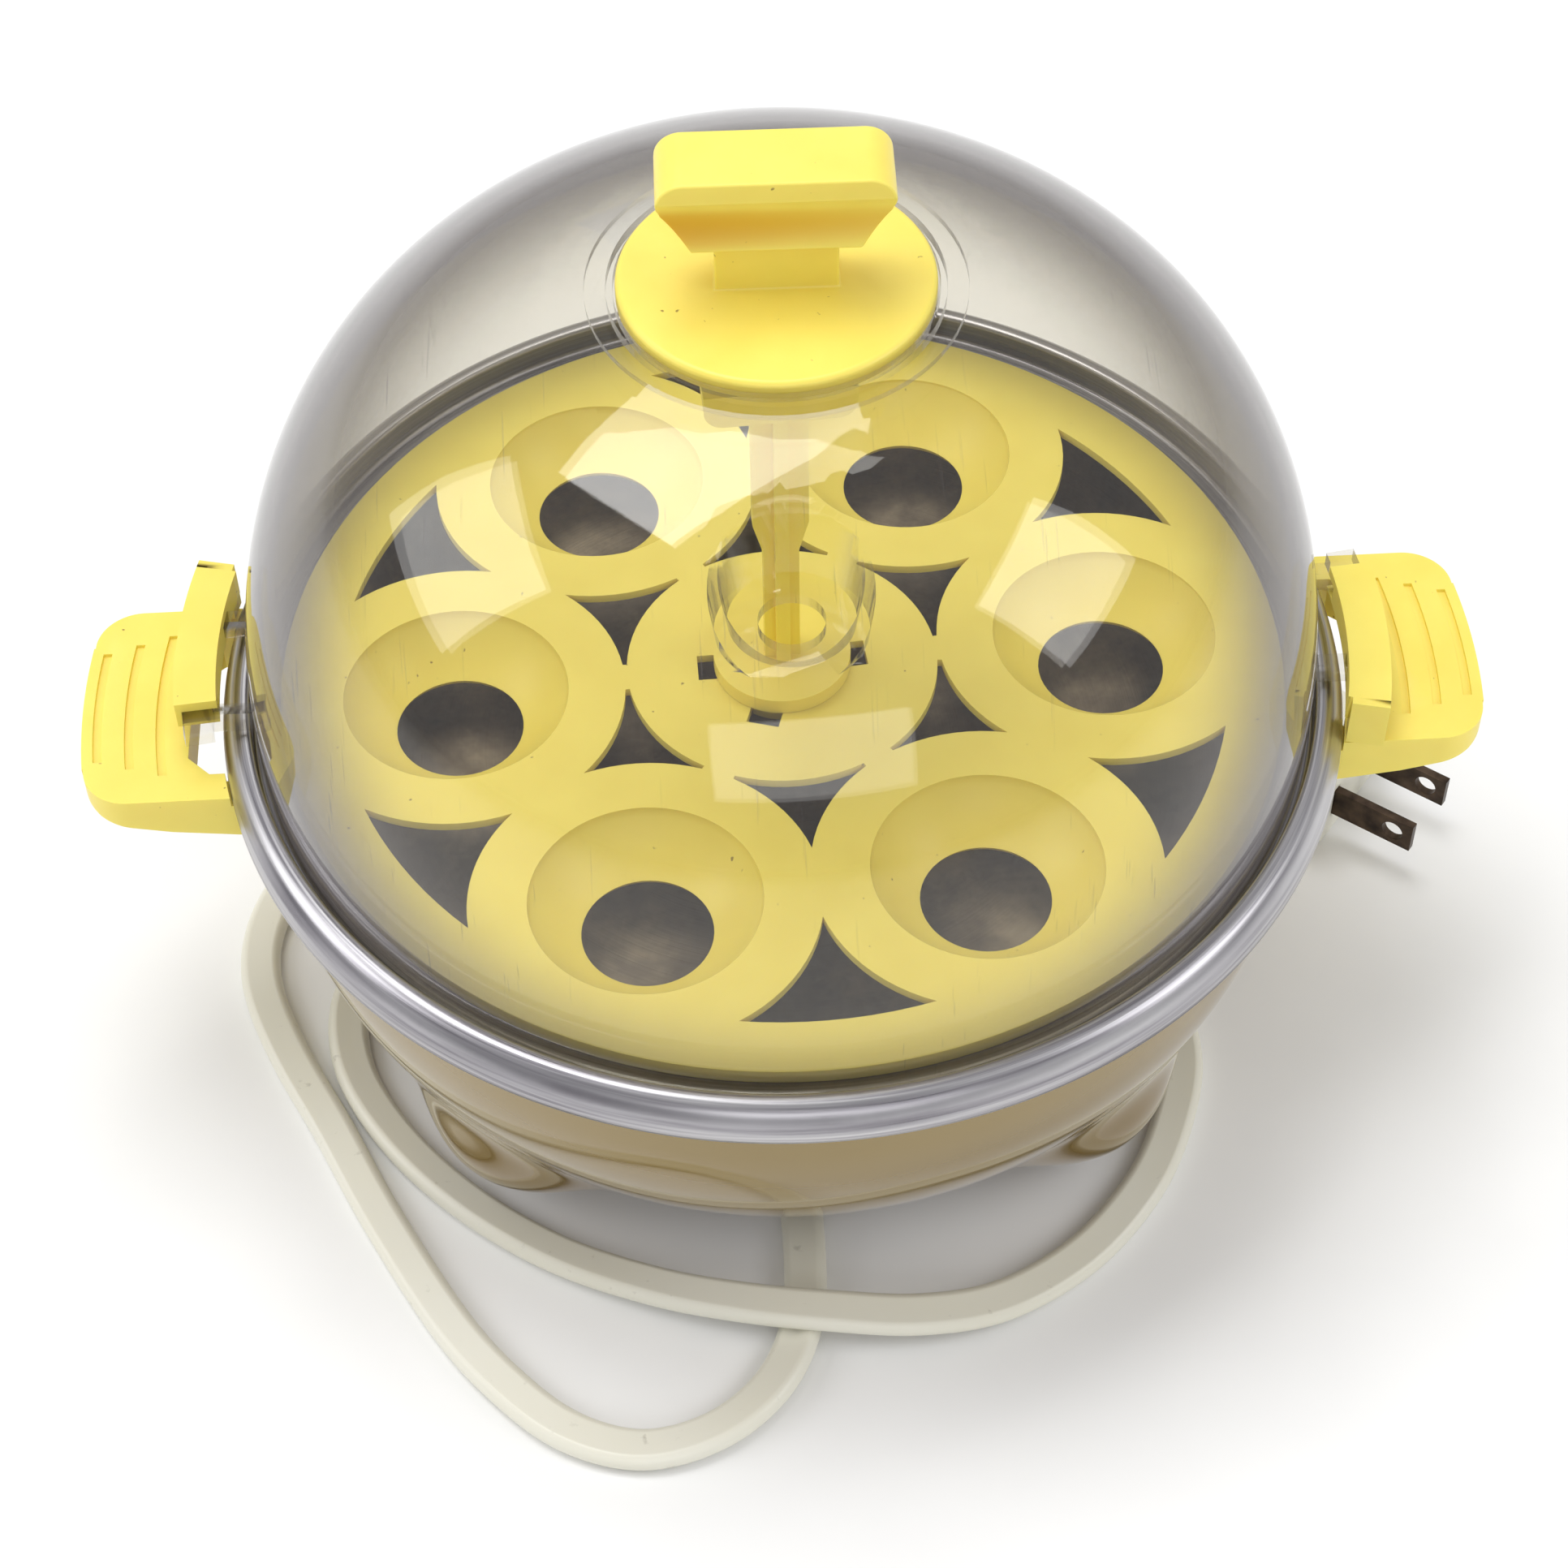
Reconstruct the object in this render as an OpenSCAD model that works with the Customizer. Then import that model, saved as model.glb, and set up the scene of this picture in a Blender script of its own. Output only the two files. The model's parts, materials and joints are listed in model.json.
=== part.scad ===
// Electric egg cooker: a round base with a heating pan, a six-seat egg tray
// and a clear dome lid. Millimetres, +Z up, origin on the table under the
// middle of the dome. The side handles lie along X.

/* [Heating pan] */
// Outer radius of the rolled steel rim
rim_r = 90; // [88:0.5:92]
// Height of the rim's lower edge
rim_z = 67; // [66:0.5:68]
// Height of the ledge that the lid and the tray stand on
ledge_z = 68.6; // [68.4:0.1:69]
// Thickness of the pressed steel sheet
sheet_t = 1; // [0.8:0.1:1.2]
// Height of the heating plate's upper face
plate_z = 53; // [51:0.5:54]

/* [Lid] */
// Outer radius of the dome's straight wall
dome_r = 84.4; // [83.5:0.1:84.4]
// Height where the dome starts to curve in
dome_z = 76; // [75:0.5:78]
// Height that the dome's curve points at
dome_top = 154.6; // [153:0.1:155]
// Exponent of the dome's curve, 2 for an ellipse
dome_n = 2.25; // [2.1:0.05:2.4]
// Thickness of the clear wall
dome_t = 2.2; // [1.8:0.1:2.6]
// Distance of the steam vent from the axis
vent_y = 50; // [46:0.5:52]
// Radius of the vent well at the dome's skin
vent_r = 11.3; // [10:0.1:12]
// Radius of the steam hole
steam_r = 4.7; // [3:0.1:5.5]
// Turn of the lid from the handles, degrees
lid_turn = -1; // [-3:0.5:3]

/* [Knob] */
// Radius of the knob's disc
disc_r = 23; // [21:0.5:23]
// Height of the top of the knob
knob_top = 174.4; // [172:0.2:177]
// Width of the knob's grip
knob_w = 33.4; // [28:0.2:36]

/* [Egg tray] */
// Radius of the circle that the six egg seats stand on
seat_pitch = 52.5; // [52:0.5:53]
// Radius of the hole in each seat
seat_hole = 10.2; // [9:0.1:11]
// Radius of a seat's dish
seat_r = 18; // [17:0.1:18.5]
// Height of the tray's upper face
tray_z = 71.4; // [71:0.1:72]
// Turn of the tray from the handles, degrees
tray_turn = 3.5; // [-5:0.5:5]

/* [Base] */
// Half length of the two side handles, from the axis
handle_x = 112.5; // [108:0.5:116]
// Height of the handles' upper face
handle_z = 68.5; // [67:0.5:69]
// Angle of the foot lobes from the front and the back
lobe_a = 45; // [44:0.5:46]
// Height of the base's floor above the table
floor_z = 13; // [12:0.5:14]

/* [Power button] */
// Radius of the push button
button_r = 7; // [6:0.5:8]

/* [Cord] */
// Width of the flat two-core cord
cord_w = 7; // [6:0.1:7.2]
// Thickness of the flat cord
cord_t = 3.6; // [3:0.1:3.8]
// Rings of the cord's solid between two of its route points
cord_steps = 1; // [1:1:2]

/* [Hidden] */
$fn = 96;
e = 0.01;
gap = 0.2;

yellow = "#EBDC66";
base_yellow = "#D8C04E";
steel = "#B9B9BC";
white = "#DEDDD0";

// Radii of the pan's own shape
lip_r = 85.2;          // inner side of the rolled rim
ledge_r = 77;          // inner edge of the ledge
pan_floor_r = 62;      // flat part of the heating plate
roll_r = lip_r + sheet_t;
// Base shell
wall_t = 2.2;
wall_r = 85;           // upright part of the base's wall, under the rim
wall_z = 56;           // where the wall starts to curve in
bowl_r = 54.5;         // radius of the wall's curve down to the floor
body_top = ledge_z - sheet_t;
floor_r = 40;          // opening in the floor
foot_r = 61;           // radius of the circle of feet
cover_r = 48;
cover_pitch = 44.5;    // radius of the circle of cover screws
shield_z = 32;
clamp_z = 43.2;
stud_r = 2;
stud_pitch = 54;
arm_y = 17.8;          // middle of a handle's two arms
screw_z = 62.5;        // height of the handle screws
// Lid
annulus_r = 27.5;
annulus_z = 150.8;
disc_z = 150.4;
disc_top = 153.3;
ear_z = 74;
ear_t = 2.6;
ear_in = 90.8;
ear_out = 95.4;
grip_in = 89.8;
grip_out = 96.4;
grip_z = 78.4;
vent_floor = 135;
// Tray
cut_r = 27.1;          // sides of the cut-outs run round the seats at this radius
cut_in = 25;
cut_out = 71.5;
tray_t = 1.6;
tray_edge = 80.4;
hub_r = 11;
bar_z = 128;
// Button and lamp at the far side
button_z = 42;
button_tilt = asin((wall_z - button_z) / bowl_r);
lamp_a = 13;

// --- shapes that repeat ---------------------------------------------------

// Points of an arc round [cx, cy] with radii rx and ry, from angle a to b
function arc(cx, cy, rx, ry, a, b, n = 12) =
    [for (i = [0:n]) let (t = a + (b - a) * i / n) [cx + rx * cos(t), cy + ry * sin(t)]];
// Radius of the dome's outer skin shrunk by t, at the fraction s of its curve
function dome_pt(s, t) = let (a = 90 * s)
    [(dome_r - t) * pow(cos(a), 2 / dome_n),
     dome_z + (dome_top - t - dome_z) * pow(sin(a), 2 / dome_n)];
// Height of the dome's skin at radius r
function dome_h(r, t) =
    dome_z + (dome_top - t - dome_z) * pow(1 - pow(r / (dome_r - t), dome_n), 1 / dome_n);
// Points of the dome's curve from its straight wall up to radius r
function dome_curve(r, t, n = 28) =
    [for (i = [0:n]) let (p = dome_pt(i / n * 0.97, t)) if (p[0] > r + 0.5) p];
function rev(v) = [for (i = [len(v) - 1:-1:0]) v[i]];

// A sector of a ring: radii r0 to r1, angles a0 to a1, heights z0 to z1
module sector(r0, r1, a0, a1, z0, z1) {
    rotate([0, 0, a0]) rotate_extrude(angle = a1 - a0)
        translate([r0, z0]) square([r1 - r0, z1 - z0]);
}
// A tube along Z with a wall from r0 to r1
module ring(r0, r1, z0, z1) {
    translate([0, 0, z0]) difference() {
        cylinder(r = r1, h = z1 - z0);
        translate([0, 0, -1]) cylinder(r = r0, h = z1 - z0 + 2);
    }
}
// Places its children at n equal turns round Z, at radius r
module around(n, r, a0 = 0) {
    for (i = [0:n - 1]) rotate([0, 0, a0 + 360 / n * i]) translate([r, 0, 0]) children();
}
// A pan-head screw along -Z with its head's seat at the origin
module screw(r, len, head_r, head_h) {
    difference() {
        union() {
            translate([0, 0, -len]) cylinder(r = r, h = len + e);
            cylinder(r1 = head_r, r2 = head_r * 0.8, h = head_h);
        }
        for (a = [0, 90]) rotate([0, 0, a])
            translate([-head_r * 0.55, -head_r * 0.11, head_h * 0.5])
                cube([head_r * 1.1, head_r * 0.22, head_h]);
    }
}
// Frame on the far wall's skin, Z outward along its normal, turned a round the axis
module on_far_wall(a) rotate([0, 0, -a]) translate([0, wall_r - bowl_r * (1 - cos(button_tilt)), button_z])
    rotate([-90 - button_tilt, 0, 0]) children();

// --- base -----------------------------------------------------------------

// Outline of the base's shell from its top edge to the floor, t inside its skin
function shell_curve(t) = concat(
    [[wall_r - t, body_top]],
    arc(wall_r - bowl_r, wall_z, bowl_r - t, bowl_r - t, 0, -32.7, 12),
    [[68.3 - t * 1.1, floor_z + 1.2 + t * 0.3], [66.2 - t, floor_z]]);
module shell_profile() {
    polygon(concat(shell_curve(0), [[floor_r, floor_z], [floor_r, floor_z + wall_t], [66.4, floor_z + wall_t]],
        rev([for (p = shell_curve(wall_t)) if (p[1] > floor_z + wall_t + 0.4) p])));
}
// A foot lobe: a bun that swells out under the wall, cut off flat near the table
module lobe() difference() {
    translate([foot_r, 0, 0]) rotate_extrude() polygon([[0, 1.6], [6.5, 1.6], [9.4, 4.2], [13.5, 8],
        [16.6, 13], [18.2, 19], [17.6, 25], [15, 31], [9, 35.5], [0, 37]]);
    // nothing of it reaches through the shell or over the cover, and a foot sits in its recess
    rotate_extrude() polygon([[0, floor_z + 1], [66.6, floor_z + 1], [75.4, 27], [79, 34], [81.9, 42],
        [0, 42]]);
    cylinder(r = cover_r + 0.5, h = floor_z + 1.5);
    translate([foot_r, 0, -1]) cylinder(r = 6.2, h = 4.2);
}
module base_body() color(base_yellow) difference() {
    union() {
        // turned so that its seam misses the lobes
        rotate([0, 0, 20]) rotate_extrude() shell_profile();
        for (a = [0, 180]) for (s = [-1, 1]) rotate([0, 0, a + 90 + s * lobe_a]) lobe();
        // columns for the cover's screws and columns that carry the heat shield
        around(4, cover_pitch) translate([0, 0, floor_z + 0.5]) cylinder(r = 4, h = 11);
        around(3, 58, 60) translate([0, 0, floor_z + 0.5]) cylinder(r = 4, h = shield_z - floor_z - 0.5);
    }
    around(4, cover_pitch) translate([0, 0, floor_z - 1]) cylinder(r = 1.3, h = 9);
    // button, lamp and handle screw holes
    on_far_wall(0) translate([0, 0, -12]) cylinder(r = 10.3, h = 20);
    on_far_wall(lamp_a) translate([0, 0, -8]) cylinder(r = 2.6, h = 12);
    for (s = [-1, 1]) for (y = [-arm_y, arm_y]) translate([s * 70, y, screw_z])
        rotate([0, s * 90, 0]) cylinder(r = 1.7, h = 20);
}

// Plan of a side handle on the right: a plate with a finger window
module handle_plan() difference() {
    intersection() {
        circle(r = handle_x);
        union() {
            translate([80, -20.5]) square([24, 41]);
            translate([100, -13]) square([20, 26]);
            for (y = [-13, 13]) translate([104, y]) circle(r = 7.5);
        }
    }
    difference() {
        translate([80, -15.2]) square([15, 30.4]);
        for (s = [-1, 1]) translate([95, s * 15.2]) rotate([0, 0, 45]) square(5, center = true);
    }
}
module side_handle() difference() {
    intersection() {
        translate([0, 0, 55]) linear_extrude(20) handle_plan();
        // wedge seen from the front: deep at the wall, thin at the outer edge
        translate([0, 30, 0]) rotate([90, 0, 0]) linear_extrude(60)
            polygon([[80, 58.5], [80, handle_z], [handle_x + 1, handle_z], [handle_x + 1, 65.6],
                [109, 63.6], [98, 61]]);
    }
    translate([0, 0, 50]) cylinder(r = wall_r + 0.1, h = 30);
    translate([0, 0, body_top - 1]) cylinder(r = rim_r + 0.3, h = 10);
    for (r = [100, 105, 110]) intersection() {
        ring(r - 0.7, r + 0.7, handle_z - 0.6, handle_z + 1);
        translate([80, -15 + (r - 100) / 3, handle_z - 1]) cube([40, 30 - (r - 100) / 1.5, 3]);
    }
    for (y = [-arm_y, arm_y]) translate([wall_r - 5, y, screw_z]) rotate([0, 90, 0])
        cylinder(r = 1.25, h = 14);
}
module side_handle_right() color(yellow) side_handle();
module side_handle_left() color(yellow) rotate([0, 0, 180]) side_handle();
module handle_screws() color(steel) for (s = [-1, 1]) for (y = [-arm_y, arm_y])
    translate([s * 79.9, y, screw_z]) rotate([0, -s * 90, 0]) screw(1.2, 13, 2.8, 1.8);

module bottom_cover() color("#3A3833") difference() {
    union() {
        translate([0, 0, floor_z - 2]) cylinder(r = cover_r, h = 2);
        // ring that centres the cover in the floor's opening
        ring(floor_r - 2.5, floor_r - 0.3, floor_z - e, floor_z + 2);
        // hood that the cord leaves through
        cord_exit() translate([-11, -6.5, -5]) cube([11, 13, floor_z - exit_z + 4]);
    }
    around(4, cover_pitch) translate([0, 0, floor_z - 4]) cylinder(r = 1.7, h = 8);
    cord_exit() translate([-14, 0, 0]) rotate([0, 90, 0]) cylinder(r = 4, h = 15);
    cord_exit() translate([-9, -4, -3.4]) cube([7, 8, 16]);
}
module cover_screws() color(steel)
    around(4, cover_pitch) translate([0, 0, floor_z - 2]) rotate([180, 0, 0]) screw(1.2, 7.5, 2.8, 1.6);
module rubber_feet() color("#4A4742")
    for (a = [0, 180]) for (s = [-1, 1]) rotate([0, 0, a + 90 + s * lobe_a]) translate([foot_r, 0, 0])
        union() {
            translate([0, 0, 0.6]) cylinder(r = 6, h = 2.6);
            cylinder(r1 = 5.4, r2 = 6, h = 0.6 + e);
        }

// Profile of the pressed pan: rolled rim, ledge, bowl and heating plate
function bowl(d) = arc(pan_floor_r, plate_z + 11, 14 + d, 11 + d, -8, -90, 8);
module heating_pan() color(steel) {
    rotate_extrude() polygon(concat(
        [[rim_r, rim_z]],
        arc(roll_r, rim_z + 0.6, rim_r - roll_r, 6, 0, 90),
        [[lip_r + 0.4, rim_z + 6.6], [lip_r, rim_z + 6.2], [lip_r, ledge_z + 0.4],
         [lip_r - 0.4, ledge_z], [ledge_r, ledge_z], [ledge_r - 0.6, ledge_z - 0.6]],
        bowl(0), [[0, plate_z]],
        [[0, plate_z - sheet_t]], rev(bowl(sheet_t)),
        [[ledge_r + 0.2, body_top - 0.6], [ledge_r + 0.6, body_top], [roll_r, body_top],
         [roll_r, rim_z + 4.8]],
        rev(arc(roll_r, rim_z + 0.6, rim_r - roll_r - sheet_t, 5, 0, 80)),
        [[rim_r - sheet_t, rim_z]]));
    // threaded studs welded under the plate
    around(3, stud_pitch, 0) translate([0, 0, shield_z - 7]) cylinder(r = stud_r, h = plate_z - shield_z + 6.5);
}
module heating_element() color("#6E675F") {
    rotate([0, 0, 15]) rotate_extrude(angle = 330) translate([38, 48.4]) circle(r = 3.2);
    for (a = [15, -15]) rotate([0, 0, a]) translate([38, 0, 0]) {
        translate([0, 0, 48.4]) sphere(r = 3.2);
        translate([0, 0, 37]) cylinder(r = 1.5, h = 11.4);
    }
}
module element_clamp() color("#C8C8CA") difference() {
    translate([0, 0, clamp_z]) cylinder(r = 59, h = 1.8);
    translate([0, 0, clamp_z - 1]) cylinder(r = 12, h = 5);
    for (a = [15, -15]) rotate([0, 0, a]) translate([38, 0, clamp_z - 1]) cylinder(r = 2.4, h = 5);
    around(3, stud_pitch, 0) translate([0, 0, clamp_z - 1]) cylinder(r = stud_r + 0.2, h = 4);
}
module heat_shield() color("#A9A9AD") difference() {
    translate([0, 0, shield_z]) cylinder(r = 66, h = 0.8);
    translate([0, 0, shield_z - 1]) cylinder(r = 45, h = 3);
    around(3, stud_pitch, 0) translate([0, 0, shield_z - 1]) cylinder(r = stud_r + 0.2, h = 3);
}
// Nuts under the element's clamp and under the heat shield
module pan_nuts() color(steel) for (z = [clamp_z, shield_z]) around(3, stud_pitch, 0) difference() {
    translate([0, 0, z - 3.2]) cylinder(r = 4, h = 3.2, $fn = 6);
    translate([0, 0, z - 4]) cylinder(r = stud_r + 0.02, h = 5);
}
module thermostat() color("#2E2B29") {
    translate([0, 0, 40.5]) cylinder(r = 8.5, h = plate_z - sheet_t - 40.5);
    for (s = [-1, 1]) translate([s * 5 - 3, -0.4, 33]) cube([6, 0.8, 7.5 + e]);
}
// Spring washer that holds the thermostat up, its two arms under the clamp
module thermostat_clip() color(steel) difference() {
    union() {
        translate([0, 0, clamp_z - 0.8]) cylinder(r = 11.6, h = 0.8);
        translate([-19, -3, clamp_z - 0.8]) cube([38, 6, 0.8]);
    }
    translate([0, 0, clamp_z - 2]) cylinder(r = 8.55, h = 3);
}
module thermal_fuse() color("#D8D4C8") {
    translate([-9, 24, 39]) rotate([0, 90, 0]) cylinder(r = 2, h = 18);
    for (s = [-1, 1]) translate([s * 12 - 3, 24, 39]) rotate([0, 90, 0]) cylinder(r = 0.6, h = 6);
}
module terminal_block() color("#E6E2D4") difference() {
    translate([-15, -31, floor_z]) cube([30, 11, 12]);
    for (x = [-7.5, 7.5]) {
        translate([x, -40, floor_z + 4.5]) rotate([-90, 0, 0]) cylinder(r = 1.9, h = 30);
        translate([x, -25.5, floor_z + 8]) cylinder(r = 2.2, h = 10);
    }
}
// Two leads from the cord's inner end to the terminal block
module supply_leads() for (s = [0, 1]) color(s == 0 ? "#2A2A2A" : "#EDEDE8") {
    translate([-7.5 + 15 * s, -36, floor_z + 4.5]) rotate([-90, 0, 0]) cylinder(r = 1.4, h = 14);
    translate([-7.5 + 15 * s, -36, floor_z + 4.5]) sphere(r = 1.4);
}
// Two leads that rise from the block to the element's pins
module element_leads() for (s = [0, 1]) color(s == 0 ? "#B5392B" : "#EDEDE8")
    rotate([0, 0, s == 0 ? 15 : -15]) translate([38, 0, 16.5]) {
        cylinder(r = 1.4, h = 20);
        translate([0, 0, 16]) cylinder(r = 2.6, h = 4);
    }

// --- power button, at the far side ----------------------------------------

// Local heights below are measured from the wall's skin, outward
module button_bezel() color(steel) on_far_wall(0) difference() {
    union() {
        translate([0, 0, -7]) cylinder(r = 10.15, h = 7.2);
        translate([0, 0, 0.1]) cylinder(r1 = 11.8, r2 = 11, h = 1.4);
    }
    translate([0, 0, -8]) cylinder(r = button_r + 0.3, h = 12);
}
module power_button() color(yellow) on_far_wall(0) {
    translate([0, 0, -4.5]) cylinder(r = button_r, h = 7);
    translate([0, 0, 2.5 - e]) cylinder(r1 = button_r, r2 = button_r - 0.8, h = 0.8);
    translate([0, 0, -10.5]) cylinder(r = 1.6, h = 6 + e);
}
module power_switch() color("#2E2B29") on_far_wall(0) difference() {
    translate([-7, -4.5, -18]) cube([14, 9, 10.4]);
    translate([0, 0, -13.6]) cylinder(r = 2, h = 10);
}
module indicator_lamp() color("#E88A50") on_far_wall(lamp_a) {
    translate([0, 0, -9]) cylinder(r = 2, h = 5);
    translate([0, 0, -4]) sphere(r = 2);
}
module indicator_lens() color("#E9E4DC") on_far_wall(lamp_a) difference() {
    union() {
        translate([0, 0, -4.5]) cylinder(r = 2.55, h = 5);
        translate([0, 0, 0.2]) cylinder(r1 = 3.4, r2 = 2.6, h = 1);
    }
    translate([0, 0, -5]) cylinder(r = 2.2, h = 4.6);
}

// --- cord -----------------------------------------------------------------

// The cord leaves the hood here, heading exit_a and down by exit_tilt
exit_x = -31;
exit_y = 22;
exit_z = 6;
exit_a = 172;
exit_tilt = 4;
boot_len = 24;
// Route of the flat cord's middle, from the boot to the plug
route = [[-55, 25.3, 4.3], [-62, 26.2, 2.9], [-69, 26.5, 2], [-76, 25, 1.9], [-83, 21.2, 1.9],
    [-88.7, 14.5, 1.9], [-92, 5.5, 1.9], [-92.6, -3, 1.9], [-90.8, -12, 1.9], [-86, -24, 1.9],
    [-79, -38, 1.9], [-70, -57, 1.9], [-59, -77, 1.9], [-50, -89, 1.9], [-40, -98, 1.9],
    [-28.5, -102, 1.9], [-17, -99.5, 1.9], [-8, -92.5, 1.9], [-2.8, -83, 1.9], [-1, -72, 1.9],
    [-1, -50, 1.9], [-1, -30, 1.9], [-2.5, -15, 1.9], [-8, -2.5, 1.9], [-18, 5, 1.9],
    [-31, 7, 1.9], [-46, 7, 1.9], [-60, 5, 1.9], [-71, -1, 1.9], [-76.5, -12, 1.9],
    [-75.5, -26, 1.9], [-68.5, -40, 1.9], [-57, -53.5, 1.9], [-42, -65, 2.1], [-26, -73, 3.2],
    [-12, -78, 4.9], [2, -81, 5.7], [17, -82, 4.6], [31, -79, 2.8], [45, -70.5, 1.9],
    [56, -58.5, 1.9], [62.5, -46, 1.9], [66, -33, 1.9], [64.5, -20, 1.9], [58, -8, 1.9],
    [52, 3, 1.9], [49.8, 14, 1.9], [51, 25, 1.9], [56.5, 35, 1.9], [65.5, 40.8, 2.6],
    [76, 41.5, 6], [85, 37, 8.5]];
route_n = len(route) * cord_steps;
// A smooth curve through the route's points, u from 0 to len - 1
function on_route(u) = let (
    i = min(floor(u), len(route) - 2), t = u - i,
    a = route[max(i - 1, 0)], b = route[i], c = route[i + 1], d = route[min(i + 2, len(route) - 1)])
    (2 * b + (c - a) * t + (2 * a - 5 * b + 4 * c - d) * t * t
        + (3 * b - a - 3 * c + d) * t * t * t) / 2;
function cord_u(k) = k * (len(route) - 1) / (route_n - 1);
function heading(u) = let (d = on_route(min(u + 0.05, len(route) - 1)) - on_route(max(u - 0.05, 0)))
    d / norm(d);
// Ten-sided outline of the flat cord, across and up
cord_side = [for (i = [0:9]) let (a = 36 * i + 18, h = (cord_w - cord_t) / 2)
    [sign(cos(a)) * h + cord_t / 2 * cos(a), cord_t / 2 * sin(a)]];
module power_cord() color(white) polyhedron(
    points = [for (k = [0:route_n - 1]) let (u = cord_u(k), p = on_route(u), t = heading(u),
            across = cross(t, [0, 0, 1]) / norm(cross(t, [0, 0, 1])), up = cross(across, t))
        for (q = cord_side) p + across * q[0] + up * q[1]],
    faces = concat(
        [[for (i = [9:-1:0]) i]], [[for (i = [0:9]) (route_n - 1) * 10 + i]],
        [for (k = [0:route_n - 2]) for (i = [0:9]) let (j = (i + 1) % 10)
            [k * 10 + i, k * 10 + j, k * 10 + 10 + j, k * 10 + 10 + i]]));
module cord_exit() translate([exit_x, exit_y, exit_z]) rotate([0, 0, exit_a]) rotate([0, exit_tilt, 0])
    children();
module cord_gland() color(white) cord_exit() difference() {
    union() {
        translate([-11, 0, 0]) rotate([0, 90, 0]) cylinder(r = 3.9, h = 11);
        translate([-8.6, -3.8, -3]) cube([6.2, 7.6, 6]);
    }
}
module strain_relief() color(white) cord_exit() rotate([0, 90, 0])
    cylinder(r1 = 4.6, r2 = 4, h = boot_len);

// Plug that lies on its side under the right handle
plug_x = 104;
plug_y = 22.2;
plug_z = 8.5;
plug_a = -38;
plug_len = 24;
blade_gap = 12.7;
module plug_frame() translate([plug_x, plug_y, plug_z]) rotate([0, 0, plug_a]) children();
module plug_body() color(white) plug_frame() difference() {
    intersection() {
        translate([-plug_len, -12, -8.4]) cube([plug_len, 24, 16.8]);
        rotate([0, -90, 0]) translate([0, 0, -1]) cylinder(r = 13.4, h = plug_len + 2);
        translate([0, 0, -10]) linear_extrude(20)
            polygon([[0, -12], [0, 12], [-13, 12], [-20, 8], [-plug_len, 5], [-plug_len, -5], [-20, -8], [-13, -12]]);
    }
    for (s = [-1, 1]) translate([-6, s * blade_gap / 2 - 0.8, -3.2]) cube([7, 1.6, 6.4]);
}
module plug_blades() color("#3A302B") plug_frame() for (s = [-1, 1]) difference() {
    translate([-6, s * blade_gap / 2 - 0.75, -3.15]) cube([21.5, 1.5, 6.3]);
    translate([11.7, s * blade_gap / 2 + 2, 0]) rotate([90, 0, 0]) cylinder(r = 2, h = 4);
}

// --- egg tray -------------------------------------------------------------

// Concave wall of a seat's dish, from the hole out to the tray, t below it
function dish(t) = let (rr = 20.5 + t, zc = tray_z + 9.35)
    [for (i = [0:10]) let (a = asin(seat_hole / 20.5) + i / 10 * (asin(seat_r / 20.5) - asin(seat_hole / 20.5)))
        [rr * sin(a), zc - rr * cos(a)]];
module cut_out(r0, r1) linear_extrude(8) difference() {
    intersection() {
        difference() { circle(r = r1); circle(r = r0); }
        polygon([[0, 0], [90 * cos(24), 90 * sin(24)], [90 * cos(24), -90 * sin(24)]]);
    }
    for (a = [-30, 30]) rotate([0, 0, a]) translate([seat_pitch, 0]) circle(r = cut_r);
}
module egg_tray() color(yellow) rotate([0, 0, tray_turn]) difference() {
    union() {
        difference() {
            union() {
                translate([0, 0, tray_z - tray_t]) cylinder(r = tray_edge, h = tray_t);
                ring(tray_edge - 1.6, tray_edge, ledge_z + 0.1, tray_z - tray_t + e);
            }
            around(6, seat_pitch) translate([0, 0, tray_z - 5]) cylinder(r = seat_r, h = 9);
        }
        around(6, seat_pitch) rotate_extrude() polygon(concat(dish(0),
            [[seat_r + 1, tray_z - 0.2], [seat_r + 1, tray_z - tray_t]], rev(dish(tray_t - 0.1))));
    }
    for (a = [30:60:330]) rotate([0, 0, a]) translate([0, 0, tray_z - 5]) {
        cut_out(cut_in, 45);
        cut_out(46, cut_out);
    }
    translate([0, 0, tray_z - 5]) cylinder(r = 9, h = 9);
    for (a = [2, 178, 250]) rotate([0, 0, a]) translate([0, -2.6, tray_z - 5]) cube([13.6, 5.2, 9]);
}
module tray_handle() color(yellow) rotate([0, 0, tray_turn]) {
    // foot: a disc on the tray, a neck through its hole and three lugs below
    translate([0, 0, tray_z + 0.1]) cylinder(r = hub_r, h = 2.8);
    translate([0, 0, tray_z - 4]) cylinder(r = 8.8, h = 4.1 + e);
    for (a = [40, 216, 288]) rotate([0, 0, a]) translate([6, -2.3, tray_z - 4]) cube([6.8, 4.6, 2.2]);
    // cross-shaped stem, wider near the top, and the pull bar
    for (w = [[5.6, 2.2], [2.2, 5.6]]) translate([-w[0] / 2, -w[1] / 2, tray_z + 2.8])
        cube([w[0], w[1], bar_z - tray_z - 2.7]);
    translate([0, 1.1, 0]) rotate([90, 0, 0]) linear_extrude(2.2)
        polygon([[-2.8, 98], [-4.35, 104], [-4.35, bar_z + 1], [4.35, bar_z + 1], [4.35, 104], [2.8, 98]]);
    translate([0, 4, 0]) rotate([90, 0, 0]) linear_extrude(8) union() {
        for (s = [-1, 1]) translate([s * 8.4, bar_z + 3]) circle(r = 3);
        translate([-8.4, bar_z]) square([16.8, 6]);
        translate([-11.4, bar_z + 3]) square([22.8, 3]);
    }
}

// --- lid ------------------------------------------------------------------

module lid_place() rotate([0, 0, lid_turn]) children();
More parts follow.
